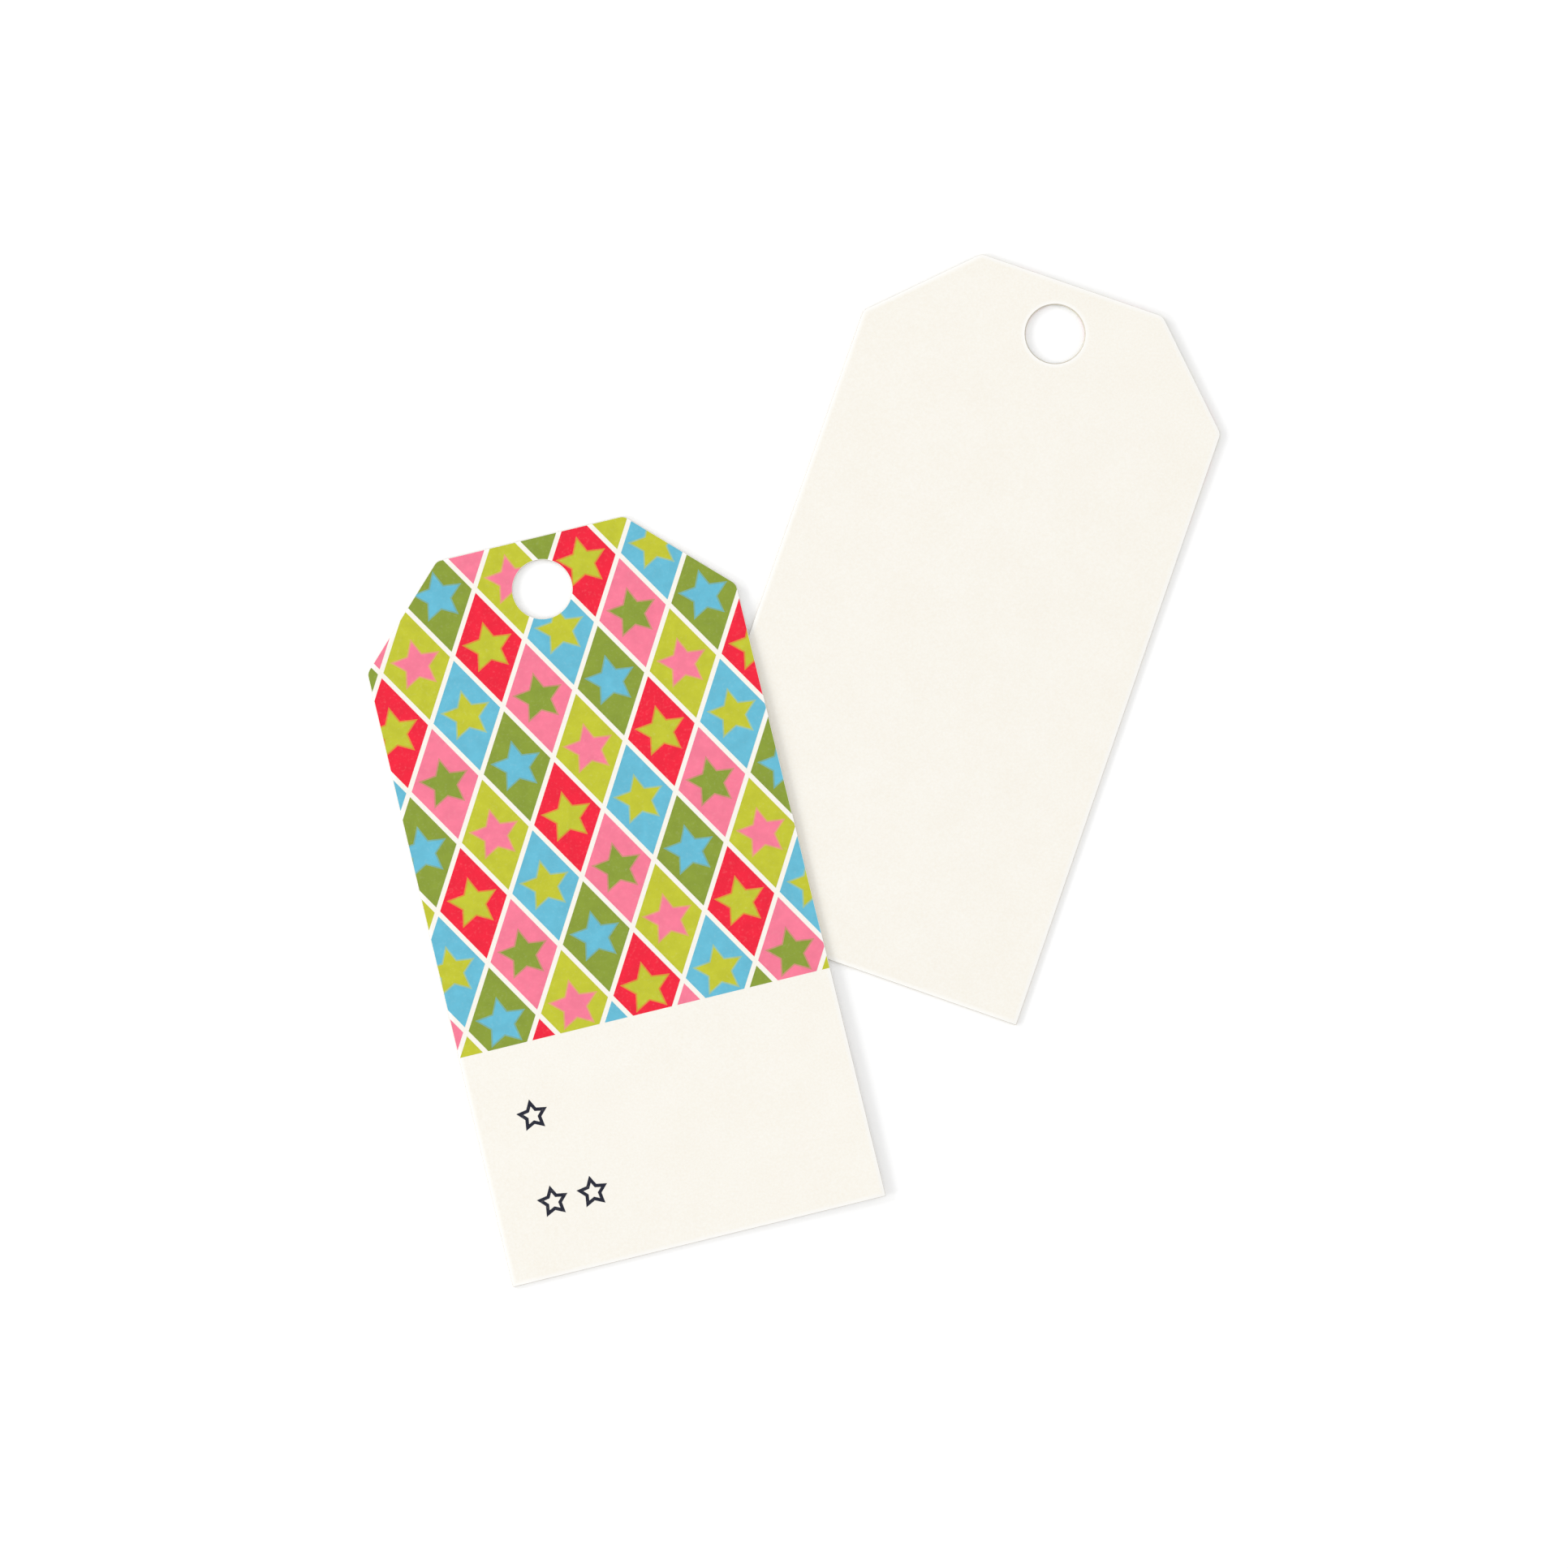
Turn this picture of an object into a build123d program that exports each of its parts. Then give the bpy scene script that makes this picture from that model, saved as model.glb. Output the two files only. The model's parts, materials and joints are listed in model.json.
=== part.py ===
from build123d import *
import os
from math import atan2, cos, degrees, hypot, radians, sin

# Two die-cut gift tags of one design, lying as a pair.
# The front tag lies face up: its long left edge is on the table, and its underside rests on a corner
# of the back tag, which lies face down. A tag is one sheet of card with its inks soaked into one face,
# so each ink is a thin film that lies flush in the card.

# Card blank: millimetres, as all lengths here
TAG_WIDTH = 50.8
TAG_LENGTH = 96.5
SHOULDER_CUT = 12.5
SHOULDER_RADIUS = 1.2
CARD_THICKNESS = 0.4

# String hole, on the centre line
HOLE_DIAMETER = 7.94
HOLE_FROM_TOP = 7.05

# Writing strip: bare card along the bottom edge
STRIP_HEIGHT = 31.1

# Printed panel: diamond cells, each with a star, between keylines of bare card
CELL_WIDTH = 9.9
CELL_HEIGHT = 16.4
FIRST_CELL_RISE = 3.2
PRINT_SHIFT = 1.1
KEYLINE = 0.64
STAR_TIP_RADIUS = 3.6
STAR_NOTCH_RADIUS = 1.75
STAR_TIPS = 5
INK_DEPTH = 0.02

# Outlined stars that mark the two lines of the writing strip
MARK_TIP_RADIUS = 2.2
MARK_NOTCH_RADIUS = 1.15
MARK_STROKE = 0.45
MARK_MARGIN = 5.6
MARK_PITCH = 5.4
UPPER_LINE_HEIGHT = 21.4
LOWER_LINE_HEIGHT = 9.7
UPPER_LINE_MARKS = 1
LOWER_LINE_MARKS = 2

# How the pair lies: turns in degrees from the part's +Y, and the back tag's corner under the front tag
FRONT_TURN = 13.7
BACK_TURN = -19.3
UNDERLAP_ACROSS = 20.4
UNDERLAP_UP = 45.5
REST_GAP = 0.02

# Ink of a cell's ground and of its star, in the order in which the cells take them
CELL_INKS = [
    ("red", "lime"),
    ("lime", "pink"),
    ("olive", "blue"),
    ("pink", "olive"),
    ("blue", "lime"),
]
INKS = ["red", "pink", "lime", "olive", "blue", "navy"]


def face_from(points):
    """Flat face inside a closed outline of points."""
    return make_face(Polyline(*points, close=True))


def star_points(tip_radius, notch_radius):
    """Outline of a star about the origin, one tip up."""
    points = []
    for step in range(2 * STAR_TIPS):
        radius = notch_radius if step % 2 else tip_radius
        angle = radians(90 + 180 / STAR_TIPS * step)
        points.append((radius * cos(angle), radius * sin(angle)))
    return points


def drawn_in(points, distance):
    """Outline with every edge moved in by one distance.

    All edges of a star or a diamond stand equally far from its centre, so this is a smaller copy.
    """
    (ax, ay), (bx, by) = points[:2]
    edge_from_centre = abs(ax * by - ay * bx) / hypot(bx - ax, by - ay)
    scale = 1 - distance / edge_from_centre
    return [(scale * x, scale * y) for x, y in points]


def tag_outline():
    """Blank seen from its printed face: x from the centre line, y from the bottom edge.

    The corners of the shoulders are just rounded, and the two at the bottom are square.
    """
    side = TAG_WIDTH / 2
    shoulder = TAG_LENGTH - SHOULDER_CUT
    right = [(side, 0), (side, shoulder), (side - SHOULDER_CUT, TAG_LENGTH)]
    left = [(-x, y) for x, y in reversed(right)]
    blank = face_from(right + left)
    shoulder_corners = [corner for corner in blank.vertices() if corner.Y > TAG_LENGTH / 2]
    blank = fillet(shoulder_corners, SHOULDER_RADIUS)
    hole = Pos(0, TAG_LENGTH - HOLE_FROM_TOP) * Circle(HOLE_DIAMETER / 2)
    return blank - hole


def cells():
    """Centre, ground ink and star ink of each diamond cell that may reach the printed panel."""
    reach = int(TAG_WIDTH / CELL_WIDTH + TAG_LENGTH / CELL_HEIGHT) + 2
    for rise in range(-reach, reach + 1):
        for fall in range(-reach, reach + 1):
            x = PRINT_SHIFT + (rise - fall) * CELL_WIDTH / 2
            y = STRIP_HEIGHT + FIRST_CELL_RISE + (rise + fall) * CELL_HEIGHT / 2
            beside = abs(x) > (TAG_WIDTH + CELL_WIDTH) / 2
            below = y < STRIP_HEIGHT - CELL_HEIGHT / 2
            above = y > TAG_LENGTH + CELL_HEIGHT / 2
            if not (beside or below or above):
                ground_ink, star_ink = CELL_INKS[(rise + 2 * fall) % len(CELL_INKS)]
                yield Pos(x, y), ground_ink, star_ink


def panel_print(outline):
    """Ink and face of each printed patch above the writing strip."""
    above_strip = Pos(0, STRIP_HEIGHT) * Rectangle(
        TAG_WIDTH, TAG_LENGTH, align=(Align.CENTER, Align.MIN)
    )
    panel = outline & above_strip
    diamond_corners = [
        (CELL_WIDTH / 2, 0),
        (0, CELL_HEIGHT / 2),
        (-CELL_WIDTH / 2, 0),
        (0, -CELL_HEIGHT / 2),
    ]
    diamond = face_from(drawn_in(diamond_corners, KEYLINE / 2))
    star = diamond & face_from(star_points(STAR_TIP_RADIUS, STAR_NOTCH_RADIUS))
    ground = diamond - star
    for place, ground_ink, star_ink in cells():
        for ink, shape in ((ground_ink, ground), (star_ink, star)):
            patch = place * shape & panel
            if patch:
                for face in patch.faces():
                    yield ink, face


def strip_marks():
    """Face of each outlined star on the writing strip, set in from the strip's left edge."""
    outer = star_points(MARK_TIP_RADIUS, MARK_NOTCH_RADIUS)
    mark = face_from(outer) - face_from(drawn_in(outer, MARK_STROKE))
    first = MARK_MARGIN + MARK_TIP_RADIUS - TAG_WIDTH / 2
    lines = ((UPPER_LINE_HEIGHT, UPPER_LINE_MARKS), (LOWER_LINE_HEIGHT, LOWER_LINE_MARKS))
    for height, count in lines:
        for step in range(count):
            yield (Pos(first + step * MARK_PITCH, height) * mark).face()


def tag_pieces():
    """Card and inks of one flat tag, with its back at z = 0 and its printed face up."""
    outline = tag_outline()
    films = {ink: [] for ink in INKS}
    for ink, face in panel_print(outline):
        films[ink].append(face)
    films["navy"] = list(strip_marks())
    printed_face = Pos(0, 0, CARD_THICKNESS)
    pieces = {}
    for ink, faces in films.items():
        solids = [extrude(printed_face * face, INK_DEPTH, dir=(0, 0, -1)).solid() for face in faces]
        pieces[ink + "_ink"] = Compound(solids)
    sheet = extrude(outline, CARD_THICKNESS)
    every_film = [solid for film in pieces.values() for solid in film.solids()]
    pieces["card"] = sheet - every_film
    return pieces


# The front tag leans on the back tag's corner, so its slope follows from the card's thickness
SEAT_ACROSS = TAG_WIDTH - UNDERLAP_ACROSS
FRONT_SLOPE = degrees(atan2(CARD_THICKNESS + REST_GAP, SEAT_ACROSS))
LEFT_EDGE_TO_ORIGIN = Pos(TAG_WIDTH / 2, 0, 0)
FACE_DOWN = Pos(TAG_WIDTH / 2, 0, CARD_THICKNESS) * Rot(0, 180, 0)
BACK_CORNER = Rot(0, 0, FRONT_TURN) * Pos(SEAT_ACROSS, UNDERLAP_UP, 0)
PLACES = {
    "front_tag": Rot(0, 0, FRONT_TURN) * Rot(0, -FRONT_SLOPE, 0) * LEFT_EDGE_TO_ORIGIN,
    "back_tag": BACK_CORNER * Rot(0, 0, BACK_TURN - FRONT_TURN) * FACE_DOWN,
}

# Both tags are the same pieces in two places, and the pair stands on the middle of its footprint
flat_pieces = tag_pieces()
pair_box = Compound([place * flat_pieces["card"] for place in PLACES.values()]).bounding_box()
TO_ORIGIN = Pos(-pair_box.center().X, -pair_box.center().Y, -pair_box.min.Z)

os.makedirs("parts", exist_ok=True)
HOLE_CENTRE = Pos(0, TAG_LENGTH - HOLE_FROM_TOP, CARD_THICKNESS / 2)
STRIP_CENTRE = Pos(0, STRIP_HEIGHT / 2, CARD_THICKNESS)
for tag, place in PLACES.items():
    placed = TO_ORIGIN * place
    for piece, shape in flat_pieces.items():
        export_step(placed * shape, f"parts/{tag}_{piece}.step")
        print(f"{tag}_{piece}: {len(shape.solids())} solids, {shape.volume:.2f} mm3")
    hole = placed * HOLE_CENTRE
    strip = placed * STRIP_CENTRE
    print(f"{tag} string hole: centre {hole.position}, axis {hole.z_axis.direction}")
    print(f"{tag} writing strip: centre {strip.position}, outward {strip.z_axis.direction}")
print(f"front tag's slope: {FRONT_SLOPE:.3f} degrees, pair {pair_box.size}")
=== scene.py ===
# %% [markdown]
# # A pair of printed gift tags
# Two die-cut card tags lie on a pale table. The front tag shows its print and leans on a corner of the
# back tag, which lies face down. Both have the same cut and the same print, so one flat tag is modelled
# on the bench, piece by piece, and copied to its two places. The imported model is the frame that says
# where everything goes.

import json
from math import acos, atan2, cos, degrees, hypot, pi, radians, sin, sqrt, tan

import bpy
from mathutils import Matrix, Vector


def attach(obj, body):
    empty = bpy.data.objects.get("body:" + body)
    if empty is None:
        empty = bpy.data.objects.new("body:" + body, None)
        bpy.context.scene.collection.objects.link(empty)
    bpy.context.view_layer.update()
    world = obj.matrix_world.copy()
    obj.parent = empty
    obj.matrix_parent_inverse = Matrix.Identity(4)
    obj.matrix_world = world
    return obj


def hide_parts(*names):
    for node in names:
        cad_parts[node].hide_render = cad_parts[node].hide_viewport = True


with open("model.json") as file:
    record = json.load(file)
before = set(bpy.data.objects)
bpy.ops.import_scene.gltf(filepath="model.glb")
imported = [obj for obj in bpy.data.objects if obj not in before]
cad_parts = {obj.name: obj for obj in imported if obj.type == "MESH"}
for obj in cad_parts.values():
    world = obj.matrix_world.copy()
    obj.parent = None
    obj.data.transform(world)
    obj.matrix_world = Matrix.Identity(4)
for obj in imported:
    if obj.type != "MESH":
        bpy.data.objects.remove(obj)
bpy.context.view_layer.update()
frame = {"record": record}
MM = 0.001


def in_mm(lengths):
    """Lengths as rounded millimetres, for printing."""
    return [round(length / MM, 2) for length in lengths]


# %% [markdown]
# ## Camera
# The photograph looks almost straight down, leaning a little towards the tags' lower end, from about
# arm's length. A camera that is not turned looks down with +Y up in the picture, so one small turn
# about X gives that view. The width of table in the picture sets the lens.

# %% Camera
LOOK_AT = Vector((-1.43, -2.33, 0.0)) * MM
CAMERA_LEAN = radians(4.29)
CAMERA_DISTANCE = 600 * MM
TABLE_IN_PICTURE = 209.4 * MM

camera_data = bpy.data.cameras.new("camera")
camera = bpy.data.objects.new("camera", camera_data)
bpy.context.scene.collection.objects.link(camera)
camera.location = LOOK_AT + CAMERA_DISTANCE * Vector((0, -sin(CAMERA_LEAN), cos(CAMERA_LEAN)))
camera.rotation_euler = (CAMERA_LEAN, 0, 0)
camera_data.lens = camera_data.sensor_width * CAMERA_DISTANCE / TABLE_IN_PICTURE
camera_data.clip_start = 10 * MM
bpy.context.scene.camera = camera
bpy.context.scene.view_settings.view_transform = "Standard"
print("Lens:", round(camera_data.lens, 1), "mm")

# %% [markdown]
# ## Hands for the bench
# An operator works on whatever is selected, so each step first says which piece it works on, and which
# of its vertices, edges or faces. These small helpers do what a hand does with the mouse.


# %% Selecting and cutting
def work_on(piece):
    """Make one piece the only selected one, and the active one."""
    bpy.ops.object.select_all(action="DESELECT")
    piece.select_set(True)
    bpy.context.view_layer.objects.active = piece


def pick(piece, kind, wanted):
    """Go to edit mode with only the wanted vertices, edges or faces selected."""
    work_on(piece)
    bpy.ops.object.mode_set(mode="EDIT")
    bpy.ops.mesh.select_mode(type=kind)
    bpy.ops.mesh.select_all(action="DESELECT")
    bpy.ops.object.mode_set(mode="OBJECT")
    mesh = piece.data
    elements = {"VERT": mesh.vertices, "EDGE": mesh.edges, "FACE": mesh.polygons}
    for element in elements[kind]:
        element.select = wanted(element)
    bpy.ops.object.mode_set(mode="EDIT")


def put_down():
    """Leave edit mode and hand back the piece."""
    bpy.ops.object.mode_set(mode="OBJECT")
    return bpy.context.object


def raise_solid(piece, low, high):
    """Give a flat piece its thickness, from one height to another."""
    pick(piece, "FACE", lambda face: True)
    bpy.ops.transform.translate(value=(0, 0, low))
    bpy.ops.mesh.extrude_region_move(TRANSFORM_OT_translate={"value": (0, 0, high - low)})
    bpy.ops.mesh.select_all(action="SELECT")
    bpy.ops.mesh.normals_make_consistent(inside=False)
    return put_down()


def cut(piece, operation, tool):
    """Cut a piece with a tool, by a Boolean modifier that is applied at once."""
    work_on(piece)
    modifier = piece.modifiers.new("cut", "BOOLEAN")
    modifier.operation = operation
    modifier.object = tool
    modifier.solver = "EXACT"
    bpy.ops.object.modifier_apply(modifier=modifier.name)


bpy.ops.object.select_all(action="DESELECT")
print("Bench cleared")

# %% [markdown]
# ## The card blank
# The real blank is stamped out of a sheet by a steel rule: straight sides, square bottom corners, two
# cut shoulders whose corners are only just rounded, and a punched hole for the string. A plane at the
# blank's size is cut at the shoulders with bisect, and their corners are rounded by a vertex bevel. A
# line across the hole's middle splits the plane, so that each part keeps one plain outline when the hole
# is punched. The same steps also make a slightly smaller blank, which later trims the print, so they
# are a function with a margin.

# %% Blank
TAG_WIDTH = 50.8 * MM
TAG_LENGTH = 96.5 * MM
SHOULDER_CUT = 12.5 * MM
SHOULDER_TURN = radians(45)
SHOULDER_RADIUS = 1.2 * MM
CARD_THICKNESS = 0.4 * MM
HOLE_DIAMETER = 7.94 * MM
HOLE_HEIGHT = TAG_LENGTH - 7.05 * MM
CORNER_STEPS = 6
HOLE_SIDES = 96


def cut_blank(name, margin, low, high):
    """Solid of the tag's outline, drawn in all round by a margin.

    x runs from the centre line and y from the bottom edge.
    """
    bpy.ops.object.select_all(action="DESELECT")
    bpy.ops.mesh.primitive_plane_add(size=1, location=(0, TAG_LENGTH / 2, 0))
    blank = bpy.context.object
    blank.name = name
    blank.scale = (TAG_WIDTH - 2 * margin, TAG_LENGTH - 2 * margin, 1)
    bpy.ops.object.transform_apply()

    # Drawn in by the margin, the 45 degree cuts meet the full width this much lower
    shoulder = TAG_LENGTH - SHOULDER_CUT - margin * sqrt(2)
    for side in (-1, 1):
        pick(blank, "FACE", lambda face: True)
        bpy.ops.mesh.bisect(
            plane_co=(side * TAG_WIDTH / 2, shoulder, 0), plane_no=(side, 1, 0), clear_outer=True
        )
        put_down()

    pick(blank, "VERT", lambda corner: corner.co.y > TAG_LENGTH / 2)
    reach = (SHOULDER_RADIUS - margin) * tan(SHOULDER_TURN / 2)
    bpy.ops.mesh.bevel(offset=reach, segments=CORNER_STEPS, affect="VERTICES")
    bpy.ops.mesh.select_all(action="SELECT")
    bpy.ops.mesh.bisect(plane_co=(0, HOLE_HEIGHT, 0), plane_no=(0, 1, 0))
    put_down()
    raise_solid(blank, low, high)

    bpy.ops.object.select_all(action="DESELECT")
    bpy.ops.mesh.primitive_cylinder_add(
        vertices=HOLE_SIDES,
        radius=HOLE_DIAMETER / 2 + margin,
        depth=4 * (high - low),
        location=(0, HOLE_HEIGHT, low),
    )
    punch = bpy.context.object
    cut(blank, "DIFFERENCE", punch)
    bpy.data.objects.remove(punch)
    return blank


INK_FILM = 0.01 * MM
CARD_FACE = CARD_THICKNESS - INK_FILM
card = cut_blank("card", 0, 0, CARD_FACE)
print("Card blank:", len(card.data.vertices), "vertices, size in mm:", in_mm(card.dimensions))

# %% [markdown]
# ## The die-cut edge
# A steel rule crushes the card a little where it cuts, so the edge is rounded off by about a tenth of a
# millimetre. The punch goes in from the plain back and drags the hole's edge down with it there: a cone
# cuts that small flare. The cut wall is darker than the sheet: its fibre ends are a little darker, and
# the rest is painted shade, which also covers most of the rounding and the flare, so a thin dark line of
# painted shade runs round every edge and round the hole. Beside the cut the sheet is painted paler, a
# painted highlight that fades inwards. A bevel rounds the sharp edges, the wall gets a material slot of
# its own, and an inset on both faces marks off the rim. The attribute of the painted highlight is 1 at
# the cut and 0 inside the rim, so that the material can fade between them.

# %% Die-cut edge
CUT_ROUNDING = 0.08 * MM
ROUNDING_STEPS = 3
PUNCH_FLARE = 0.14 * MM
PAINTED_HIGHLIGHT_RIM = 0.6 * MM
SHARP_ANGLE = radians(60)
SMOOTH_ANGLE = radians(40)
# How upright a face's normal stands: at most this much on the cut wall, which takes the painted shade,
# at least this much on the flat
SHADED_WALL_UPRIGHT = 0.95
FLAT_UPRIGHT = 0.999

bpy.ops.object.select_all(action="DESELECT")
bpy.ops.mesh.primitive_cone_add(
    vertices=HOLE_SIDES,
    radius1=HOLE_DIAMETER / 2 + 2 * PUNCH_FLARE,
    radius2=HOLE_DIAMETER / 2 - PUNCH_FLARE,
    depth=3 * PUNCH_FLARE,
    location=(0, HOLE_HEIGHT, PUNCH_FLARE / 2),
)
flare = bpy.context.object
cut(card, "DIFFERENCE", flare)
bpy.data.objects.remove(flare)

for finish in ("uncoated_cover_stock", "die_cut_wall_painted_shade"):
    card.data.materials.append(bpy.data.materials.new(finish))
pick(card, "EDGE", lambda edge: False)
bpy.ops.mesh.edges_select_sharp(sharpness=SHARP_ANGLE)
bpy.ops.mesh.bevel(offset=CUT_ROUNDING, segments=ROUNDING_STEPS, affect="EDGES")
put_down()

# The wall, most of the rounding and the punched flare take the wall's finish, which is partly painted
# shade
card.active_material_index = card.data.materials.find("die_cut_wall_painted_shade")
pick(card, "FACE", lambda face: abs(face.normal.z) < SHADED_WALL_UPRIGHT)
bpy.ops.object.material_slot_assign()
put_down()
pick(card, "FACE", lambda face: abs(face.normal.z) > FLAT_UPRIGHT)
bpy.ops.mesh.inset(thickness=PAINTED_HIGHLIGHT_RIM, use_even_offset=True)
put_down()
bpy.ops.object.shade_smooth_by_angle(angle=SMOOTH_ANGLE)
inside_rim = {index for face in card.data.polygons if face.select for index in face.vertices}
# Painted highlight beside the cut: 1 at the cut edge, 0 inside the rim
painted_edge_highlight = card.data.attributes.new("painted_edge_highlight", "FLOAT", "POINT")
for index, spot in enumerate(painted_edge_highlight.data):
    spot.value = 0.0 if index in inside_rim else 1.0
print("Card with its edge:", len(card.data.polygons), "faces,", len(inside_rim), "points inside")

# %% [markdown]
# ## Stamps for the print
# The panel's print is a harlequin of diamonds, each with a star. On a press every ink has its plate.
# Here every patch starts as a small stamp, one millimetre tall, because Boolean cuts are surest on
# stout solids, and the finished print is pressed down to a thin film at the end. A circle of ten points
# becomes a star when every other point is pushed out, and a circle of four points is a diamond.

# %% Star and diamond
CELL_WIDTH = 9.9 * MM
CELL_HEIGHT = 16.4 * MM
KEYLINE = 0.64 * MM
STAR_TIP_RADIUS = 3.6 * MM
STAR_NOTCH_RADIUS = 1.75 * MM
STAR_TIPS = 5
STAMP_HEIGHT = 1.0 * MM
TRAP = 0.2 * MM


def flat_star(name, tip_radius, notch_radius):
    """Flat star about the origin, one tip up."""
    bpy.ops.object.select_all(action="DESELECT")
    bpy.ops.mesh.primitive_circle_add(vertices=2 * STAR_TIPS, radius=notch_radius, fill_type="NGON")
    star = bpy.context.object
    star.name = name
    steps_round = pi / STAR_TIPS
    pick(star, "VERT", lambda point: round(atan2(point.co.x, point.co.y) / steps_round) % 2 == 0)
    push = tip_radius / notch_radius
    bpy.ops.transform.resize(value=(push, push, 1), center_override=(0, 0, 0))
    return put_down()


def flat_diamond(name):
    """Flat diamond of one cell about the origin, drawn in for its half of the keyline."""
    side = hypot(CELL_WIDTH, CELL_HEIGHT)
    left = 1 - KEYLINE * side / (CELL_WIDTH * CELL_HEIGHT)
    bpy.ops.object.select_all(action="DESELECT")
    bpy.ops.mesh.primitive_circle_add(vertices=4, radius=left / 2, fill_type="NGON")
    diamond = bpy.context.object
    diamond.name = name
    pick(diamond, "FACE", lambda face: True)
    bpy.ops.transform.resize(value=(CELL_WIDTH, CELL_HEIGHT, 1), center_override=(0, 0, 0))
    return put_down()


star_stamp = flat_star("star_stamp", STAR_TIP_RADIUS, STAR_NOTCH_RADIUS)
star_cutter = flat_star("star_cutter", STAR_TIP_RADIUS, STAR_NOTCH_RADIUS)
diamond_stamp = flat_diamond("diamond_stamp")
print("Star in mm:", in_mm(star_stamp.dimensions), "diamond:", in_mm(diamond_stamp.dimensions))

# %% [markdown]
# ## Trap line
# Printers let neighbouring inks overlap by a hair, so that no bare card shows if the plates are not
# quite in line. It shows as a thin line of mixed colour round each star. The star's face is inset by
# that overlap, and the ring it leaves gets the second material slot.

# %% Stamps made solid
for slot_name in ("ink", "trap"):
    star_stamp.data.materials.append(bpy.data.materials.new(slot_name))
star_stamp.active_material_index = star_stamp.data.materials.find("trap")
pick(star_stamp, "FACE", lambda face: True)
bpy.ops.object.material_slot_assign()
bpy.ops.mesh.inset(thickness=TRAP, use_even_offset=True)
star_stamp.active_material_index = star_stamp.data.materials.find("ink")
bpy.ops.object.material_slot_assign()
put_down()
raise_solid(star_stamp, 0, STAMP_HEIGHT)
raise_solid(star_cutter, -STAMP_HEIGHT, 2 * STAMP_HEIGHT)
raise_solid(diamond_stamp, 0, STAMP_HEIGHT)
diamond_stamp.data.materials.append(bpy.data.materials["ink"])
cut(diamond_stamp, "DIFFERENCE", star_cutter)
print("Stamps:", len(star_stamp.data.polygons), "and", len(diamond_stamp.data.polygons), "faces")

# %% [markdown]
# ## Finishes: how the nodes are written
# Each finish starts from the real stuff. Colours are written as on a swatch, in sRGB hex, and turned
# to the linear values that the shader wants. Pattern sizes are written in millimetres. One function
# adds a node, with its settings and what feeds it, and the small ones after it are the steps that every
# finish here takes: a pattern, a range, a mixture, and the matt surface at the end.

# %% Colour and nodes
CARD_SWATCH = "FAF6ED"


def linear(swatch):
    """Linear RGBA of an sRGB hex colour."""
    channels = [int(swatch[at : at + 2], 16) / 255 for at in (0, 2, 4)]
    curve = [c / 12.92 if c <= 0.04045 else ((c + 0.055) / 1.055) ** 2.4 for c in channels]
    return (*curve, 1.0)


def add_node(tree, kind, settings, inputs):
    """Add a node: settings are its own choices, inputs are values or the sockets that feed it."""
    node = tree.nodes.new("ShaderNode" + kind)
    for name, value in settings.items():
        setattr(node, name, value)
    for socket, value in inputs.items():
        if isinstance(value, bpy.types.NodeSocket):
            tree.links.new(value, node.inputs[socket])
        else:
            node.inputs[socket].default_value = value
    return node


def empty_tree(owner):
    """Node tree of a material or a world, cleared for new nodes."""
    owner.use_nodes = True
    owner.node_tree.nodes.clear()
    return owner.node_tree


def noise(tree, place, size, detail):
    """Socket of a noise pattern whose features have this size."""
    pattern = add_node(tree, "TexNoise", {}, {"Vector": place, "Scale": 1 / size, "Detail": detail})
    return pattern.outputs["Fac"]


def stretch(tree, value, old_range, new_range):
    """Socket of a value after its old range is stretched over a new one."""
    old_ends = {"From Min": old_range[0], "From Max": old_range[1]}
    new_ends = {"To Min": new_range[0], "To Max": new_range[1]}
    return add_node(tree, "MapRange", {}, {"Value": value, **old_ends, **new_ends}).outputs["Result"]


def mix(tree, share, first, second, blend="MIX"):
    """Socket of two colours mixed, with this share of the second."""
    settings = {"data_type": "RGBA", "blend_type": blend}
    return add_node(tree, "Mix", settings, {0: share, 6: first, 7: second}).outputs[2]


def matt_surface(tree, colour, grain, relief, shine):
    """End a finish: its colour, a grain that stands up as fine relief, and how it shines."""
    bump = add_node(tree, "Bump", {}, {"Height": grain, **relief})
    inputs = {"Base Color": colour, "Normal": bump.outputs["Normal"], **shine}
    shader = add_node(tree, "BsdfPrincipled", {}, inputs)
    add_node(tree, "OutputMaterial", {}, {"Surface": shader.outputs["BSDF"]})


print("Card colour in linear light:", [round(c, 3) for c in linear(CARD_SWATCH)])

# %% [markdown]
# ## Finish: uncoated cover stock
# The card is an uncoated, warm white cover stock, calendered smooth. The eye sees a matt sheet with a
# faint cloudiness some millimetres across, where the pulp settled unevenly, and a very fine fibre
# grain. Real fibres are about 0.03 mm wide, too fine for the picture, so they are drawn at 0.3 mm.

# %% Cover stock
PAPER_IOR = 1.5
PAPER_SPECULAR = 0.25
PAPER_ROUGHNESS = (0.72, 0.92)
CLOUD_SIZE = 6.0 * MM
CLOUD_DETAIL = 3.0
CLOUD_SHARE = 0.4
FIBRE_SIZE = 0.3 * MM
FIBRE_DETAIL = 4.0
FIBRE_RELIEF = 0.005 * MM
# Values of fibre and cloud between which the paper goes from its deep tone to its pale one
TONE_RANGE = (0.45, 0.95)
FULL_RANGE = (0.0, 1.0)


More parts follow.
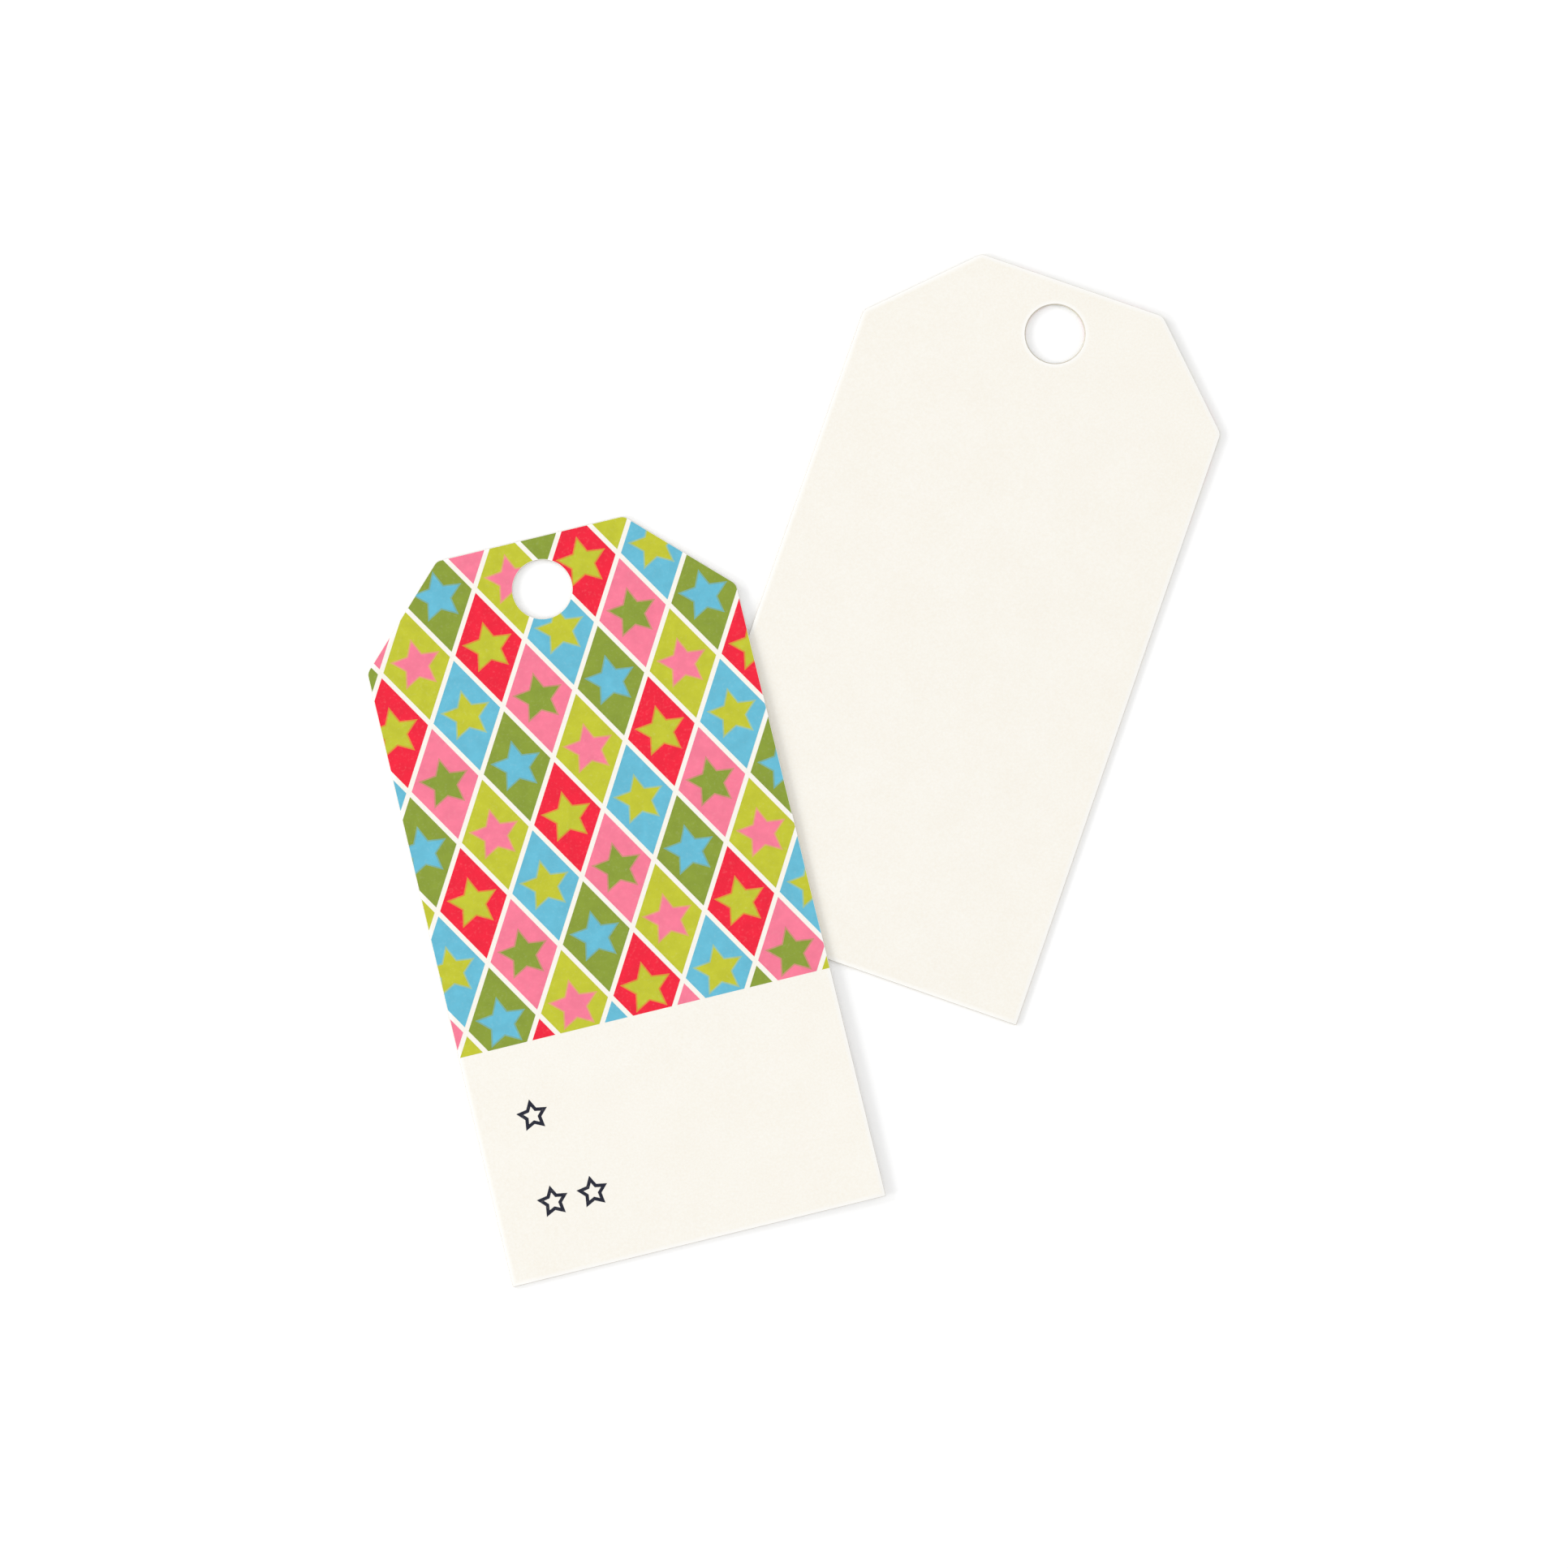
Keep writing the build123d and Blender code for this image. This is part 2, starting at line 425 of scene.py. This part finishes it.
def cover_stock(material, pale, deep, highlight_tone, fibre_relief, layers):
    """Matt paper between two near tones, fading to a third that is a painted highlight along the cut
    edge.

    Layers says how much finer the fibres lie in depth than in plane.
    """
    tree = empty_tree(material)
    place = add_node(tree, "TexCoord", {}, {}).outputs["Object"]
    squeezed = add_node(tree, "Mapping", {}, {"Vector": place, "Scale": (1, 1, layers)})
    cloud = noise(tree, place, CLOUD_SIZE, CLOUD_DETAIL)
    fibre = noise(tree, squeezed.outputs["Vector"], FIBRE_SIZE, FIBRE_DETAIL)
    both = add_node(tree, "Math", {"operation": "MULTIPLY_ADD"}, {0: cloud, 1: CLOUD_SHARE, 2: fibre})
    tone = stretch(tree, both.outputs["Value"], TONE_RANGE, FULL_RANGE)
    colour = mix(tree, tone, linear(deep), linear(pale))
    # A paler painted highlight along the cut edge
    if highlight_tone:
        fade = add_node(tree, "Attribute", {"attribute_name": "painted_edge_highlight"}, {})
        colour = mix(tree, fade.outputs["Fac"], colour, linear(highlight_tone))
    relief = {"Distance": fibre_relief, "Strength": 1.0}
    shine = {
        "Roughness": stretch(tree, fibre, FULL_RANGE, PAPER_ROUGHNESS),
        "IOR": PAPER_IOR,
        "Specular IOR Level": PAPER_SPECULAR,
    }
    matt_surface(tree, colour, fibre, relief, shine)


sheet_finish, wall_finish_painted_shade = card.data.materials
# FFFEFB is the painted highlight beside the cut edge
cover_stock(sheet_finish, "FCF9F1", "F8F3E8", "FFFEFB", FIBRE_RELIEF, 1)
# The wall's two tones are darker partly for its fibre ends and partly as painted shade along every edge
cover_stock(wall_finish_painted_shade, "DAD4C6", "C3BBAA", None, 2 * FIBRE_RELIEF, 6)
print("Card finishes:", [material.name for material in card.data.materials])

# %% [markdown]
# ## Finish: offset ink on card
# The inks are flat spot colours printed by offset on uncoated card. They soak in, so they stay matt
# with only a little more sheen than the card, and each lies a touch unevenly: a soft mottle about a
# millimetre across, and fine specks where fibres did not take the ink. A trap line mixes two inks.

# %% Inks
INK_SWATCHES = {
    "red": "F21A39",
    "pink": "F87C98",
    "lime": "C3C62E",
    "olive": "899D33",
    "blue": "66BCD6",
    "navy": "14172A",
}
INK_IOR = 1.48
INK_SPECULAR = 0.3
INK_ROUGHNESS = (0.45, 0.7)
INK_RELIEF_STRENGTH = 0.7
MOTTLE_SIZE = 1.4 * MM
MOTTLE_DETAIL = 2.0
# Values of the mottle between which the ink goes from its thinnest to its thickest lay
MOTTLE_RANGE = (0.3, 0.7)
LAY_RANGE = (0.95, 1.05)
SPECK_SIZE = 0.35 * MM
SPECK_DETAIL = 3.0
# Values of the specks between which the card starts to show, and how much of it shows
SPECK_RANGE = (0.55, 0.8)
BARE_RANGE = (0.0, 0.06)


def offset_ink(name, colour):
    """Flat ink soaked into card, with mottle and fibre specks."""
    material = bpy.data.materials.new(name)
    tree = empty_tree(material)
    place = add_node(tree, "TexCoord", {}, {}).outputs["Object"]
    mottle = noise(tree, place, MOTTLE_SIZE, MOTTLE_DETAIL)
    specks = noise(tree, place, SPECK_SIZE, SPECK_DETAIL)
    lay = stretch(tree, mottle, MOTTLE_RANGE, LAY_RANGE)
    body = mix(tree, 1.0, colour, lay, "MULTIPLY")
    bare = stretch(tree, specks, SPECK_RANGE, BARE_RANGE)
    shown = mix(tree, bare, body, linear(CARD_SWATCH))
    relief = {"Distance": FIBRE_RELIEF, "Strength": INK_RELIEF_STRENGTH}
    shine = {
        "Roughness": stretch(tree, specks, FULL_RANGE, INK_ROUGHNESS),
        "IOR": INK_IOR,
        "Specular IOR Level": INK_SPECULAR,
    }
    matt_surface(tree, shown, specks, relief, shine)
    return material


ink_finish = {}
for ink, swatch in INK_SWATCHES.items():
    ink_finish[ink] = offset_ink("offset_ink_" + ink, linear(swatch))
print("Inks:", sorted(ink_finish))

# %% [markdown]
# ## Laying the print
# The cells stand in slanting rows, and five pairings of ground and star ink follow each other along
# the rows. Each cell gets a copy of the two stamps. Copies of one ink are joined into one piece, which
# is trimmed by a slightly smaller blank with a straight lower edge, so the print stops just short of
# the cut edge and at the writing strip. Then it is pressed to its film and laid on the card.

# %% Cells and their inks
STRIP_HEIGHT = 31.1 * MM
FIRST_CELL_RISE = 3.2 * MM
PRINT_SHIFT = 1.1 * MM
# Ink of a cell's ground and of its star, in the order in which the cells take them
CELL_INKS = [
    ("red", "lime"),
    ("lime", "pink"),
    ("olive", "blue"),
    ("pink", "olive"),
    ("blue", "lime"),
]
TRIM = 0.09 * MM


def cells():
    """Place, ground ink and star ink of each cell that may reach the printed panel."""
    reach = int(TAG_WIDTH / CELL_WIDTH + TAG_LENGTH / CELL_HEIGHT) + 2
    for rise in range(-reach, reach + 1):
        for fall in range(-reach, reach + 1):
            x = PRINT_SHIFT + (rise - fall) * CELL_WIDTH / 2
            y = STRIP_HEIGHT + FIRST_CELL_RISE + (rise + fall) * CELL_HEIGHT / 2
            beside = abs(x) > (TAG_WIDTH + CELL_WIDTH) / 2
            below = y < STRIP_HEIGHT - CELL_HEIGHT / 2
            above = y > TAG_LENGTH + CELL_HEIGHT / 2
            if not (beside or below or above):
                yield (x, y, 0), CELL_INKS[(rise + 2 * fall) % len(CELL_INKS)]


def copy_of(piece, materials):
    """Copy of a piece with a mesh of its own, in other finishes."""
    copy = piece.copy()
    copy.data = piece.data.copy()
    for index, material in enumerate(materials):
        copy.data.materials[index] = material
    bpy.context.scene.collection.objects.link(copy)
    return copy


def join(copies, name):
    """Join copies into one piece whose place is in its mesh."""
    work_on(copies[0])
    for copy in copies:
        copy.select_set(True)
    bpy.ops.object.join()
    joined = bpy.context.object
    joined.name = name
    bpy.ops.object.transform_apply()
    return joined


def press(piece):
    """Press stamps down to the ink's film and lay it on the card's face."""
    pick(piece, "FACE", lambda face: True)
    bpy.ops.transform.resize(value=(1, 1, INK_FILM / STAMP_HEIGHT), center_override=(0, 0, 0))
    bpy.ops.transform.translate(value=(0, 0, CARD_FACE))
    return put_down()


print("Cells:", len(list(cells())))

# %% Trap finishes and stamped copies
trap_finish = {}
for ground_ink, star_ink in CELL_INKS:
    channels = zip(linear(INK_SWATCHES[ground_ink]), linear(INK_SWATCHES[star_ink]))
    mixed = [(ground + star) / 2 for ground, star in channels]
    trap_finish[ground_ink, star_ink] = offset_ink(f"overprint_{star_ink}_on_{ground_ink}", mixed)

stamped = {ink: [] for ink in INK_SWATCHES}
for place, (ground_ink, star_ink) in cells():
    ground = copy_of(diamond_stamp, [ink_finish[ground_ink]])
    star = copy_of(star_stamp, [ink_finish[star_ink], trap_finish[ground_ink, star_ink]])
    ground.location = place
    star.location = place
    stamped[ground_ink].append(ground)
    stamped[star_ink].append(star)
print("Stamped copies:", {ink: len(copies) for ink, copies in stamped.items()})

# %% Trimmed inks
panel = cut_blank("panel", TRIM, -STAMP_HEIGHT, 2 * STAMP_HEIGHT)
pick(panel, "FACE", lambda face: True)
bpy.ops.mesh.bisect(plane_co=(0, STRIP_HEIGHT, 0), plane_no=(0, -1, 0), clear_outer=True, use_fill=True)
put_down()

flat_pieces = {"card": card}
for ink, copies in stamped.items():
    if copies:
        film = join(copies, ink + "_ink")
        cut(film, "INTERSECT", panel)
        flat_pieces[ink + "_ink"] = press(film)
        print(film.name, len(film.data.polygons), "faces, size in mm:", in_mm(film.dimensions))

# %% [markdown]
# ## Marks on the writing strip
# The bare strip has two lines to write on. A small outlined star opens the upper line and two open the
# lower one, in dark navy. An inset leaves the outline, and the middle is deleted.

# %% Marks
MARK_TIP_RADIUS = 2.2 * MM
MARK_NOTCH_RADIUS = 1.15 * MM
MARK_STROKE = 0.45 * MM
MARK_MARGIN = 5.6 * MM
MARK_PITCH = 5.4 * MM
# Each line's height over the bottom edge, and how many marks open it
MARK_LINES = [(21.4 * MM, 1), (9.7 * MM, 2)]

mark_stamp = flat_star("mark_stamp", MARK_TIP_RADIUS, MARK_NOTCH_RADIUS)
pick(mark_stamp, "FACE", lambda face: True)
bpy.ops.mesh.inset(thickness=MARK_STROKE, use_even_offset=True)
bpy.ops.mesh.delete(type="FACE")
put_down()
raise_solid(mark_stamp, 0, STAMP_HEIGHT)
mark_stamp.data.materials.append(bpy.data.materials["ink"])
first_mark = MARK_MARGIN + MARK_TIP_RADIUS - TAG_WIDTH / 2
marks = []
for height, count in MARK_LINES:
    for step in range(count):
        mark = copy_of(mark_stamp, [ink_finish["navy"]])
        mark.location = (first_mark + step * MARK_PITCH, height, 0)
        marks.append(mark)
flat_pieces["navy_ink"] = press(join(marks, "navy_ink"))
print("Marks:", len(flat_pieces["navy_ink"].data.polygons), "faces")

# %% [markdown]
# ## How the cards lie
# Card is stiff, but it gives. The front tag bears on the corner of the back tag, so its middle stands
# up there, its right side levels off, and its bottom edge and its top end sink back towards the table.
# The back tag curls up a little at its string hole, on the side away from the front tag. A lattice of a
# few points is laid round each flat tag, and its points are moved by tenths of a millimetre. Every piece
# is cut into small faces, so that it can bend, and follows its tag's lattice.

# %% Drape
DRAPE_CELL = 4.0 * MM
CUT_TOLERANCE = 0.001 * MM
# Rise of the lattices' points out of the printed face, in millimetres: rows from the bottom edge up,
# each from left to right. The back tag's printed face is down, so what lifts off the table is below
# zero there.
DRAPE_RISE = {
    "front": [
        (0.1, -0.4, -0.3),
        (0.05, -0.1, -0.1),
        (0.0, 0.2, -0.4),
        (0.0, 0.15, -0.1),
        (0.05, -0.2, -0.1),
        (0.05, -0.25, -0.9),
    ],
    "back": [
        (0.0, 0.0, 0.0),
        (0.0, 0.0, 0.0),
        (0.0, 0.0, 0.0),
        (-0.3, -0.25, 0.0),
    ],
}

drapes = {}
for tag, rows in DRAPE_RISE.items():
    bpy.ops.object.select_all(action="DESELECT")
    bpy.ops.object.add(type="LATTICE", location=(0, TAG_LENGTH / 2, 0))
    drape = bpy.context.object
    drape.name = tag + "_drape"
    drape.scale = (TAG_WIDTH, TAG_LENGTH, 1)
    drape.data.points_u = len(rows[0])
    drape.data.points_v = len(rows)
    drape.data.points_w = 1
    rises = [rise for row in rows for rise in row]
    for point, rise in zip(drape.data.points, rises):
        point.co_deform.z += rise * MM
    drapes[tag] = drape
    print(drape.name, len(drape.data.points), "points")


def follow_drape(piece, drape):
    """Cut a flat piece into small faces and let it follow a lattice."""
    for axis, low, size in (((1, 0, 0), -TAG_WIDTH / 2, TAG_WIDTH), ((0, 1, 0), 0, TAG_LENGTH)):
        steps = round(size / DRAPE_CELL)
        for step in range(1, steps):
            pick(piece, "FACE", lambda face: True)
            line = Vector(axis) * (low + size * step / steps)
            bpy.ops.mesh.bisect(plane_co=line, plane_no=axis, threshold=CUT_TOLERANCE)
            put_down()
    work_on(piece)
    modifier = piece.modifiers.new("drape", "LATTICE")
    modifier.object = drape
    bpy.ops.object.modifier_apply(modifier=modifier.name)


# %% [markdown]
# ## The two tags in place
# The imported record says where each tag's string hole is and which way it points. The front tag leans
# with its hole's axis, and each tag keeps its own turn on the table. Every flat piece is copied to
# both places, rides on its tag and takes the place of the matching CAD node, which is hidden.

# %% Places
FRONT_TURN = radians(13.7)
BACK_TURN = radians(-19.3)

mounts = {mount["name"]: mount for mount in frame["record"]["mounts"]}
front_hole = mounts["front_string_hole"]
back_hole = mounts["back_string_hole"]
front_slope = acos(front_hole["axis"][2])
hole_to_origin = Matrix.Translation((0, -HOLE_HEIGHT, -CARD_THICKNESS / 2))
front_place = (
    Matrix.Translation(front_hole["pos_m"])
    @ Matrix.Rotation(FRONT_TURN, 4, "Z")
    @ Matrix.Rotation(-front_slope, 4, "Y")
    @ hole_to_origin
)
back_place = (
    Matrix.Translation(back_hole["pos_m"])
    @ Matrix.Rotation(BACK_TURN, 4, "Z")
    @ Matrix.Rotation(pi, 4, "Y")
    @ hole_to_origin
)
print("Front tag's slope:", round(degrees(front_slope), 3), "degrees")

# %% Copies in place
for tag, place in (("front", front_place), ("back", back_place)):
    for piece_name, flat in flat_pieces.items():
        piece = copy_of(flat, list(flat.data.materials))
        piece.name = f"{tag}_{piece_name}"
        follow_drape(piece, drapes[tag])
        piece.matrix_world = place
        work_on(piece)
        bpy.ops.object.transform_apply()
        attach(piece, tag + "_tag")
        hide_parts(f"{tag}_tag_{piece_name}")
        corners = [Vector(corner) for corner in piece.bound_box]
        print(piece.name, "middle in mm:", in_mm(sum(corners, Vector()) / len(corners)))

stamps = (star_stamp, star_cutter, diamond_stamp, panel, mark_stamp)
for tool in (*stamps, *drapes.values(), *flat_pieces.values()):
    bpy.data.objects.remove(tool)

# %% [markdown]
# ## Table and light
# The table is a plain pale floor, just under the tags. The camera sees it as white, and it keeps the
# tags' soft shadows. Most of the light is an even white room. Two softboxes stand low on the left, one
# towards each end of the tags, so only the edges on the right keep a full, narrow shadow. A weak one on
# the right fills it. Each entry is a softbox's direction and the share of the light that it gives, and
# together they light the card so that a colour shows about as it is written.

# %% Floor
FLOOR_SIZE = 1.6
FLOOR_DROP = 0.02 * MM
FLOOR_COLOUR = (0.94, 0.94, 0.94, 1.0)
FLOOR_LIFT = 0.14


def seen_directly(tree):
    """Socket that is 1 for rays by which the eye sees: straight, mirrored or through clear stuff."""
    rays = add_node(tree, "LightPath", {}, {})
    seen = rays.outputs["Is Camera Ray"]
    for kind in ("Is Glossy Ray", "Is Transmission Ray"):
        either = add_node(tree, "Math", {"operation": "MAXIMUM"}, {0: seen, 1: rays.outputs[kind]})
        seen = either.outputs["Value"]
    return seen


bpy.ops.object.select_all(action="DESELECT")
bpy.ops.mesh.primitive_plane_add(size=FLOOR_SIZE, location=(0, 0, -FLOOR_DROP))
floor = bpy.context.object
floor.name = "floor"
floor_paint = bpy.data.materials.new("matt_white_table")
floor.data.materials.append(floor_paint)
tree = empty_tree(floor_paint)
lift = add_node(tree, "Math", {"operation": "MULTIPLY"}, {0: seen_directly(tree), 1: FLOOR_LIFT})
paint = add_node(tree, "BsdfDiffuse", {}, {"Color": FLOOR_COLOUR})
glow = add_node(tree, "Emission", {}, {"Strength": lift.outputs["Value"]})
whole = add_node(tree, "AddShader", {}, {0: paint.outputs["BSDF"], 1: glow.outputs["Emission"]})
add_node(tree, "OutputMaterial", {}, {"Surface": whole.outputs["Shader"]})
print("Floor at", round(-FLOOR_DROP / MM, 3), "mm")

# %% Room light and softboxes
ROOM_COLOUR = (1.0, 1.0, 1.0, 1.0)
ROOM_LEVEL = 0.735
SEEN_LEVEL = 1.0
SOFTBOXES = {
    "upper_key": (radians(157), 0.115),
    "lower_key": (radians(197), 0.11),
    "fill": (radians(5), 0.05),
}
SOFTBOX_ELEVATION = radians(22)
SOFTBOX_DISTANCE = 2.0
SOFTBOX_SIZE = 0.75

world = bpy.data.worlds.new("white_room")
bpy.context.scene.world = world
tree = empty_tree(world)
strength = stretch(tree, seen_directly(tree), FULL_RANGE, (ROOM_LEVEL, SEEN_LEVEL))
room = add_node(tree, "Background", {}, {"Color": ROOM_COLOUR, "Strength": strength})
add_node(tree, "OutputWorld", {}, {"Surface": room.outputs["Background"]})

for name, (azimuth, level) in SOFTBOXES.items():
    along = cos(SOFTBOX_ELEVATION)
    to_light = Vector((along * cos(azimuth), along * sin(azimuth), sin(SOFTBOX_ELEVATION)))
    lamp = bpy.data.lights.new(name + "_softbox", "AREA")
    lamp.shape = "DISK"
    lamp.size = SOFTBOX_SIZE
    # A lamp of this power gives its share of the light that falls on the level table
    lamp.energy = level * pi * pi * SOFTBOX_DISTANCE**2 / sin(SOFTBOX_ELEVATION)
    softbox = bpy.data.objects.new(lamp.name, lamp)
    bpy.context.scene.collection.objects.link(softbox)
    softbox.location = to_light * SOFTBOX_DISTANCE
    softbox.rotation_euler = to_light.to_track_quat("Z", "Y").to_euler()
    print(softbox.name, round(lamp.energy, 2), "W")
